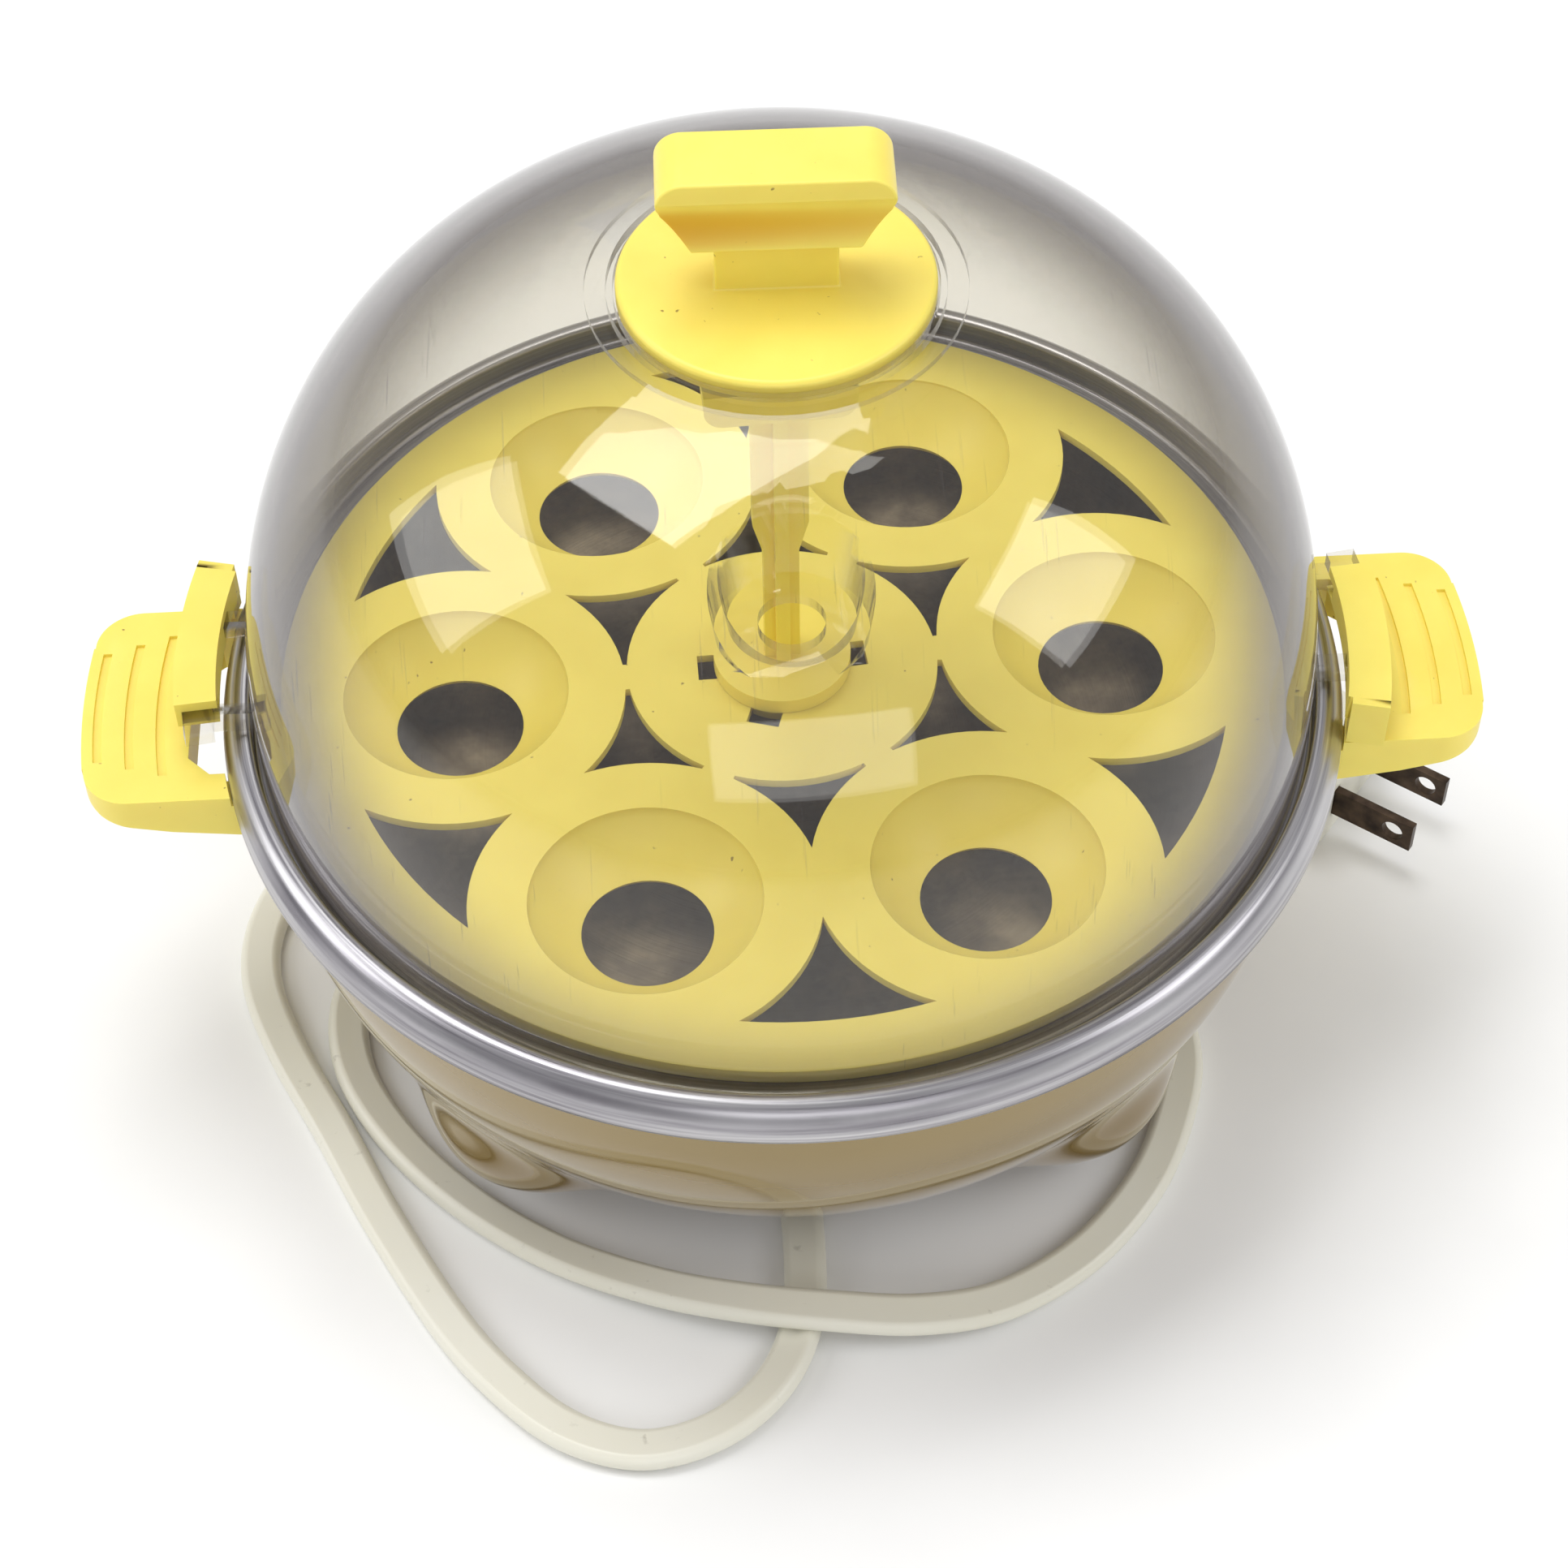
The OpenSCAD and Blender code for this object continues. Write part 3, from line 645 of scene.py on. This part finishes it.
def vinyl_cord():
    """Extruded vinyl: soft gloss, uneven yellowing and a few grey scuffs."""
    material, tree = new_material("Extruded vinyl, aged white")
    if tree is None:
        return material
    where = add(tree, "ShaderNodeTexCoord").outputs["Object"]
    age = add(tree, "ShaderNodeTexNoise", {"Vector": where, "Scale": 30.0, "Detail": 4.0})
    base = bpy.context.scene.egg_cooker_colours.cord
    yellowed = [base[0] * 0.985, base[1] * 0.975, base[2] * 0.93]
    tint = add(
        tree,
        "ShaderNodeMix",
        {"Factor": age.outputs["Fac"], 6: linear(base), 7: linear(yellowed)},
        data_type="RGBA",
    ).outputs[2]
    scuff = add(tree, "ShaderNodeTexNoise", {"Vector": where, "Scale": 420.0, "Detail": 3.0})
    dark = add(
        tree,
        "ShaderNodeMapRange",
        {
            "Value": scuff.outputs["Fac"],
            "From Min": 0.68,
            "From Max": 0.8,
            "To Min": 0.0,
            "To Max": 0.5,
        },
    )
    colour = add(
        tree, "ShaderNodeMix", {
            "Factor": dark.outputs[0],
            6: tint,
            7: linear("#9C9686"),
        }, data_type="RGBA"
    ).outputs[2]
    bump = add(
        tree,
        "ShaderNodeBump",
        {"Height": age.outputs["Fac"], "Strength": 0.12, "Distance": 0.0008},
    )
    shader = add(
        tree,
        "ShaderNodeBsdfPrincipled",
        {
            "Base Color": colour,
            "Roughness": 0.36,
            "IOR": 1.53,
            "Subsurface Weight": 0.1,
            "Subsurface Radius": (0.003, 0.003, 0.0025),
            "Normal": bump.outputs[0],
        },
    )
    close(tree, shader.outputs[0])
    return material


def plain_finish(name, light, dark, metallic, roughness, scale, depth):
    """A surface whose colour runs between two tones in patches, with a bump of the same size.
    scale is patches per metre, depth the bump's height in metres."""
    material, tree = new_material(name)
    if tree is None:
        return material
    where = add(tree, "ShaderNodeTexCoord").outputs["Object"]
    noise = add(tree, "ShaderNodeTexNoise", {"Vector": where, "Scale": scale, "Detail": 5.0})
    colour = ramp(tree, noise.outputs["Fac"], [(0.32, dark), (0.68, light)])
    rough = add(
        tree,
        "ShaderNodeMapRange",
        {
            "Value": noise.outputs["Fac"],
            "To Min": roughness * 0.75,
            "To Max": min(1.0, roughness * 1.25),
        },
    )
    bump = add(
        tree,
        "ShaderNodeBump",
        {"Height": noise.outputs["Fac"], "Strength": 0.3, "Distance": depth},
    )
    shader = add(
        tree,
        "ShaderNodeBsdfPrincipled",
        {
            "Base Color": colour,
            "Metallic": metallic,
            "Roughness": rough.outputs[0],
            "Normal": bump.outputs[0],
        },
    )
    close(tree, shader.outputs[0])
    return material


# --- cord and camera, made first ------------------------------------------

# The cord's route, the same points as its solid, in millimetres
ROUTE_MM = [
    (-55, 25.3, 4.3), (-62, 26.2, 2.9), (-69, 26.5, 2), (-76, 25, 1.9), (-83, 21.2, 1.9),
    (-88.7, 14.5, 1.9), (-92, 5.5, 1.9), (-92.6, -3, 1.9), (-90.8, -12, 1.9), (-86, -24, 1.9),
    (-79, -38, 1.9), (-70, -57, 1.9), (-59, -77, 1.9), (-50, -89, 1.9), (-40, -98, 1.9),
    (-28.5, -102, 1.9), (-17, -99.5, 1.9), (-8, -92.5, 1.9), (-2.8, -83, 1.9), (-1, -72, 1.9),
    (-1, -50, 1.9), (-1, -30, 1.9), (-2.5, -15, 1.9), (-8, -2.5, 1.9), (-18, 5, 1.9),
    (-31, 7, 1.9), (-46, 7, 1.9), (-60, 5, 1.9), (-71, -1, 1.9), (-76.5, -12, 1.9),
    (-75.5, -26, 1.9), (-68.5, -40, 1.9), (-57, -53.5, 1.9), (-42, -65, 2.1), (-26, -73, 3.2),
    (-12, -78, 4.9), (2, -81, 5.7), (17, -82, 4.6), (31, -79, 2.8), (45, -70.5, 1.9),
    (56, -58.5, 1.9), (62.5, -46, 1.9), (66, -33, 1.9), (64.5, -20, 1.9), (58, -8, 1.9),
    (52, 3, 1.9), (49.8, 14, 1.9), (51, 25, 1.9), (56.5, 35, 1.9), (65.5, 40.8, 2.6),
    (76, 41.5, 6), (85, 37, 8.5),
]


def smooth_route(points, per_span):
    """Catmull-Rom curve through the points: each span is the cubic that leaves a point along
    the line between its two neighbours."""
    p = np.asarray(points, float)
    p = np.concatenate([p[:1], p, p[-1:]])
    t = np.linspace(0, 1, per_span, endpoint=False)[None, :, None]
    a, b, c, d = (p[i : len(p) - 3 + i, None] for i in range(4))
    spans = (2 * b + (c - a) * t + (2 * a - 5 * b + 4 * c - d) * t**2 + (3 * b - a - 3 * c + d) * t**3) / 2
    return np.concatenate([spans.reshape(-1, 3), p[-1:]])


class EGGCOOKER_OT_camera(bpy.types.Operator):
    """Makes the camera that looks down on the front of the cooker"""

    bl_idname = "eggcooker.camera"
    bl_label = "Camera"

    def execute(self, context):
        eye = Vector((-16.3, -355.7, 462.6)) * MM
        target = Vector((0.0, 0.0, 41.0)) * MM
        ahead = (target - eye).normalized()
        right = ahead.cross(Vector((0, 0, 1))).normalized()
        up = right.cross(ahead)
        roll = math.radians(-0.87)
        x_axis = right * math.cos(roll) + up * math.sin(roll)
        y_axis = up * math.cos(roll) - right * math.sin(roll)
        lens = bpy.data.cameras.new("camera")
        lens.sensor_width = 36
        lens.lens = 75.4
        lens.clip_start = 0.01
        camera = bpy.data.objects.new("camera", lens)
        turn = Matrix((x_axis, y_axis, -ahead)).transposed()
        camera.matrix_world = Matrix.Translation(eye) @ turn.to_4x4()
        context.scene.collection.objects.link(camera)
        context.scene.camera = camera
        return {"FINISHED"}


class EGGCOOKER_OT_cord(bpy.types.Operator):
    """Makes the flat two-core cord as one tube along its route"""

    bl_idname = "eggcooker.cord"
    bl_label = "Cord"

    def execute(self, context):
        # Two round cores 3.4 mm apart joined by a web: x = h sign(cos a) + r cos a, y = r sin a,
        # with the outline drawn in to 70% of its height in the middle.
        path = smooth_route(ROUTE_MM, 9)
        core, half = 1.8, 1.7
        a = np.radians(np.arange(7.5, 367.5, 15))
        side = np.stack([np.sign(np.cos(a)) * half + core * np.cos(a), core * np.sin(a)], -1)
        side = np.insert(side, [6, 18], [[0, core * 0.66], [0, -core * 0.66]], axis=0)
        heading = np.gradient(path, axis=0)
        heading /= np.linalg.norm(heading, axis=1, keepdims=True)
        across = np.cross(heading, [0, 0, 1.0])
        across /= np.linalg.norm(across, axis=1, keepdims=True)
        up = np.cross(across, heading)
        # the cord leans a little this way and that along its length
        run = np.linspace(0, 1, len(path))
        lean = 0.22 * np.sin(run * 23) * np.sin(run * np.pi)
        across, up = (
            across * np.cos(lean)[:, None] + up * np.sin(lean)[:, None],
            up * np.cos(lean)[:, None] - across * np.sin(lean)[:, None],
        )
        points = path[:, None] + across[:, None] * side[
            None,
            :,
            :1,
        ] + up[:, None] * side[None, :, 1:]
        count = len(side)
        points = np.concatenate([points.reshape(-1, 3), path[:1], path[-1:]])
        points[:, 2] = np.maximum(points[:, 2], 0.03)
        faces = grid_faces(len(path), count, wrap_columns=True).tolist()
        tail = (len(path) - 1) * count
        first, last = len(points) - 2, len(points) - 1
        faces += [(first, (i + 1) % count, i) for i in range(count)]
        faces += [(last, tail + i, tail + (i + 1) % count) for i in range(count)]
        mesh_faces = faces
        mesh = bpy.data.meshes.new("cord")
        mesh.from_pydata((points * MM).tolist(), [], mesh_faces)
        work = bmesh.new()
        work.from_mesh(mesh)
        bmesh.ops.recalc_face_normals(work, faces=work.faces)
        work.to_mesh(mesh)
        work.free()
        mesh.polygons.foreach_set("use_smooth", [True] * len(mesh.polygons))
        mesh.materials.append(vinyl_cord())
        cord = bpy.data.objects.new("flat_cord", mesh)
        context.scene.collection.objects.link(cord)
        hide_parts("power_cord")
        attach(cord, "base")
        plug = [
            moulded("plug_body", vinyl_cord(), edge=0.0022, segments=5),
            moulded(
                "plug_blades",
                plain_finish(
                    "Tarnished brass, stamped",
                    "#5A4A3C",
                    "#2B211A",
                    0.85,
                    0.38,
                    260.0,
                    0.0001,
                ),
                edge=0.0003,
            ),
        ]
        for node in ("strain_relief", "cord_gland"):
            moulded(node, vinyl_cord(), edge=0.0004)
        return {"FINISHED"}


# --- base and pan ---------------------------------------------------------

FOOT_ANGLES = (45, 135, 225, 315)
# A foot lobe is a ball, cut flat above the table and hollowed round the cover
LOBE_PITCH_MM = 61
LOBE_RADIUS_MM = 18.0
LOBE_CENTRE_Z_MM = 19.6
LOBE_UNDERSIDE_MM = 1.62
COVER_CLEARANCE_MM = 48.6


class EGGCOOKER_OT_base(bpy.types.Operator):
    """Makes the glossy base shell with its four foot lobes run smoothly into the bowl"""

    bl_idname = "eggcooker.base"
    bl_label = "Base shell"

    def execute(self, context):
        # A point starts 16 mm outside the plain bowl and walks in along the bowl's normal by the
        # distance to the blended shape until it lands on it. The blend of the distances a and b
        # is min(a, b) - h^2 k / 4 with h = max(k - |a - b|, 0) / k.
        blend = context.scene.egg_cooker_sizes.lobe_blend / MM
        outline = np.concatenate(
            [
                [(84.95, 67.5)],
                arc(30.5, 56, 54.5, 54.5, 0, -32.7, 40),
                [(69.6, 16.0)],
                arc(66.4, 15.6, 2.6, 2.6, -20, -90, 8),
                [(40.2, 13.0)],
            ]
        )
        line = resample(outline, 130)
        along = np.gradient(line, axis=0)
        along /= np.linalg.norm(along, axis=1, keepdims=True)
        normal = np.stack([-along[:, 1], along[:, 0]], -1)
        a = np.pi / 2 + np.arange(540) * 2 * np.pi / 540
        travel = np.full((len(line), len(a)), 16.0)
        for _ in range(70):
            r = line[:, :1] + normal[:, :1] * travel
            z = line[:, 1:] + normal[:, 1:] * travel
            lobe = np.full_like(travel, 1e3)
            for centre in np.radians(FOOT_ANGLES):
                turn = (a - centre + np.pi) % (2 * np.pi) - np.pi
                across = (r * np.cos(turn) - LOBE_PITCH_MM) ** 2 + (r * np.sin(turn)) ** 2
                d = np.sqrt(across + (z - LOBE_CENTRE_Z_MM) ** 2) - LOBE_RADIUS_MM
                cut = np.maximum(LOBE_UNDERSIDE_MM - z, COVER_CLEARANCE_MM - r)
                lobe = np.minimum(lobe, np.maximum(d, cut))
            h = np.maximum(blend - np.abs(travel - lobe), 0) / blend
            travel = np.maximum(travel - (np.minimum(travel, lobe) - h * h * blend / 4), 0)
        r = line[:, :1] + normal[:, :1] * travel
        z = np.maximum(line[:, 1:] + normal[:, 1:] * travel, 1.6)
        points = np.stack([r * np.cos(a), r * np.sin(a), z], -1).reshape(-1, 3)
        shell = mesh_object(
            "base_shell",
            points,
            grid_faces(len(line), len(a), wrap_columns=True),
            gloss_base(),
            "base",
            replaces=("base_body",),
        )
        # which way the open shell faces: outwards at its first face
        if shell.data.polygons[0].normal.dot(shell.data.polygons[0].center) < 0:
            shell.data.flip_normals()
        wall = shell.modifiers.new("sheet", "SOLIDIFY")
        wall.thickness = 0.0012
        wall.offset = -1
        return {"FINISHED"}


class EGGCOOKER_OT_pan(bpy.types.Operator):
    """Makes the pressed steel pan with its rolled rim and heating plate"""

    bl_idname = "eggcooker.pan"
    bl_label = "Heating pan"

    def execute(self, context):
        # Rim: a quarter ellipse, 3.8 by 5.8 mm. Bowl: a quarter ellipse of 14 by 11 mm down to
        # the flat plate. The underside is the same line one sheet lower.
        top = np.concatenate(
            [
                [(90.0, 67.05)],
                arc(86.2, 67.6, 3.8, 5.6, 0, 90, 26),
                arc(86.0, 72.4, 0.8, 0.8, 95, 175, 6),
                [(85.2, 69.3)],
                arc(84.5, 69.3, 0.7, 0.7, 0, -90, 5),
                arc(77.6, 67.9, 0.7, 0.7, 90, 170, 5),
                arc(62, 64, 14, 11, -8, -90, 24),
                [(40.0, 53.0), (20.0, 53.0), (0.0, 53.0)],
            ]
        )
        under = np.concatenate(
            [
                [(0.0, 52.0), (30.0, 52.0)],
                arc(62, 64, 15, 12, -90, -8, 24),
                [(77.6, 67.6), (85.4, 67.6), (86.2, 71.9)],
                arc(86.2, 67.6, 2.8, 4.6, 90, 0, 20),
                [(89.0, 67.05), (89.5, 66.95)],
            ]
        )
        profile = np.concatenate([top, under])
        points = revolve(profile, 288)
        mesh_object(
            "steel_pan",
            points,
            grid_faces(len(profile), 288, wrap_rows=True, wrap_columns=True),
            spun_steel(),
            "base",
            replaces=("heating_pan",),
        )
        return {"FINISHED"}


class EGGCOOKER_OT_fittings(bpy.types.Operator):
    """Gives the handles, the feet, the cover, the button and the inner parts their finish"""

    bl_idname = "eggcooker.fittings"
    bl_label = "Handles and fittings"

    def execute(self, context):
        edge = context.scene.egg_cooker_sizes.edge
        yellow = moulded_yellow()
        for node in ("side_handle_left", "side_handle_right"):
            moulded(node, yellow, edge=edge)
        moulded("power_button", yellow, edge=0.0004)
        moulded(
            "button_bezel",
            plain_finish(
                "Stainless steel, turned",
                "#C9C8C8",
                "#9E9CA0",
                1.0,
                0.24,
                900.0,
                0.00004,
            ),
            edge=0.0002,
        )
        repaint(
            plain_finish("Frosted acrylic", "#F0E7DC", "#DCCFC2", 0.0, 0.5, 300.0, 0.0001),
            "indicator_lens",
            "indicator_lamp",
        )
        repaint(
            plain_finish(
                "Moulded rubber, charcoal",
                "#4B4843",
                "#2F2D2A",
                0.0,
                0.72,
                500.0,
                0.0002,
            ),
            "rubber_feet",
        )
        repaint(
            plain_finish("Moulded nylon, black", "#3B3936", "#26241F", 0.0, 0.5, 700.0, 0.0001),
            "bottom_cover",
            "thermostat",
            "power_switch",
        )
        zinc = plain_finish("Zinc-plated steel", "#BDBDBF", "#8D8E92", 1.0, 0.32, 800.0, 0.00005)
        repaint(
            zinc,
            "handle_screws",
            "cover_screws",
            "pan_nuts",
            "thermostat_clip",
            "knob_screw",
            "knob_washer",
            "heating_element",
        )
        repaint(
            plain_finish("Rolled aluminium sheet", "#C4C5C8", "#9C9DA1", 1.0, 0.4, 300.0, 0.00005),
            "element_clamp",
            "heat_shield",
        )
        repaint(
            plain_finish("Silicone sleeving", "#E4DFD2", "#BDB6A5", 0.0, 0.55, 500.0, 0.0001),
            "thermal_fuse",
            "terminal_block",
            "supply_leads",
            "element_leads",
        )
        return {"FINISHED"}


# --- tray and lid ---------------------------------------------------------


class EGGCOOKER_OT_tray(bpy.types.Operator):
    """Finishes the egg tray and its pull handle"""

    bl_idname = "eggcooker.tray"
    bl_label = "Egg tray"

    def execute(self, context):
        moulded("egg_tray", moulded_yellow(), edge=0.0006, segments=2, corner=30)
        moulded("tray_handle", moulded_yellow(), edge=0.0005, segments=2)
        return {"FINISHED"}


class EGGCOOKER_OT_lid(bpy.types.Operator):
    """Finishes the clear dome, its knob and its grips"""

    bl_idname = "eggcooker.lid"
    bl_label = "Lid"

    def execute(self, context):
        edge = context.scene.egg_cooker_sizes.edge
        moulded("lid_dome", clear_lid(), edge=None, corner=26)
        # the knob's yellow has painted shade, a deeper orange, inside the scoops of its grip
        knob = moulded_yellow(
            "Satin moulded polypropylene, yellow, painted scoop shade", scoop_shade=(0.0055, 0.160, 0.1715)
        )
        moulded("lid_knob", knob, edge=0.0011, segments=4)
        for node in ("lid_grip_left", "lid_grip_right"):
            moulded(node, moulded_yellow(), edge=edge)
        return {"FINISHED"}


# --- stage ----------------------------------------------------------------


class EGGCOOKER_OT_stage(bpy.types.Operator):
    """Makes the pale floor, the soft lights and the pale surroundings"""

    bl_idname = "eggcooker.stage"
    bl_label = "Stage"

    def execute(self, context):
        material = plain_finish("Matt studio paper", "#F4F4F3", "#F0F0EF", 0.0, 0.9, 20.0, 0.0001)
        mesh = bpy.data.meshes.new("floor")
        s = 4.0
        mesh.from_pydata([(-s, -s, 0), (s, -s, 0), (s, s, 0), (-s, s, 0)], [], [(0, 1, 2, 3)])
        mesh.materials.append(material)
        floor = bpy.data.objects.new("floor", mesh)
        context.scene.collection.objects.link(floor)
        strength = context.scene.egg_cooker_sizes.exposure
        # name, place, aimed at, size, watts
        for name, place, aim, size, watts in (
            ("ceiling box", (-0.25, 0.35, 1.5), (0, 0, 0.05), (1.1, 0.7), 13.0),
            ("left window", (-1.3, 0.1, 0.9), (0, 0, 0.08), (0.8, 0.8), 6.0),
            ("right window", (1.2, -0.3, 1.0), (0, 0, 0.08), (0.7, 0.7), 5.0),
            ("front fill", (0.1, -1.5, 0.9), (0, 0, 0.06), (1.2, 0.6), 4.0),
        ):
            lamp = bpy.data.lights.new(name, "AREA")
            lamp.shape = "RECTANGLE"
            lamp.size, lamp.size_y = size
            lamp.energy = watts * strength
            piece = bpy.data.objects.new(name, lamp)
            piece.location = place
            piece.rotation_euler = (Vector(aim) - Vector(place)).to_track_quat("-Z", "Y").to_euler()
            context.scene.collection.objects.link(piece)
        world = bpy.data.worlds.new("pale surroundings")
        world.use_nodes = True
        tree = world.node_tree
        tree.nodes.clear()
        glow = add(
            tree,
            "ShaderNodeBackground",
            {"Color": linear("#F4F4F6"), "Strength": 0.62 * strength},
        )
        add(tree, "ShaderNodeOutputWorld", {"Surface": glow.outputs[0]})
        context.scene.world = world
        context.scene.view_settings.view_transform = "Standard"
        return {"FINISHED"}


class EGGCOOKER_PT_panel(bpy.types.Panel):
    """Lists the pieces, in the order in which they are made"""

    bl_idname = "EGGCOOKER_PT_panel"
    bl_label = "Egg cooker"
    bl_space_type = "VIEW_3D"
    bl_region_type = "UI"
    bl_category = "Egg cooker"

    def draw(self, context):
        column = self.layout.column()
        for group in (context.scene.egg_cooker_colours, context.scene.egg_cooker_sizes):
            for name in group.bl_rna.properties.keys():
                if name not in ("rna_type", "name"):
                    column.prop(group, name)
        for operator in OPERATORS:
            column.operator(operator.bl_idname)


OPERATORS = (
    EGGCOOKER_OT_camera,
    EGGCOOKER_OT_cord,
    EGGCOOKER_OT_base,
    EGGCOOKER_OT_pan,
    EGGCOOKER_OT_fittings,
    EGGCOOKER_OT_tray,
    EGGCOOKER_OT_lid,
    EGGCOOKER_OT_stage,
)
CLASSES = (EggCookerColours, EggCookerSizes) + OPERATORS + (EGGCOOKER_PT_panel,)


def register():
    for item in CLASSES:
        bpy.utils.register_class(item)
    bpy.types.Scene.egg_cooker_colours = bpy.props.PointerProperty(type=EggCookerColours)
    bpy.types.Scene.egg_cooker_sizes = bpy.props.PointerProperty(type=EggCookerSizes)


def unregister():
    del bpy.types.Scene.egg_cooker_sizes
    del bpy.types.Scene.egg_cooker_colours
    for item in reversed(CLASSES):
        bpy.utils.unregister_class(item)


def main():
    register()
    for operator in OPERATORS:
        group, name = operator.bl_idname.split(".")
        getattr(getattr(bpy.ops, group), name)()


if __name__ == "__main__":
    main()
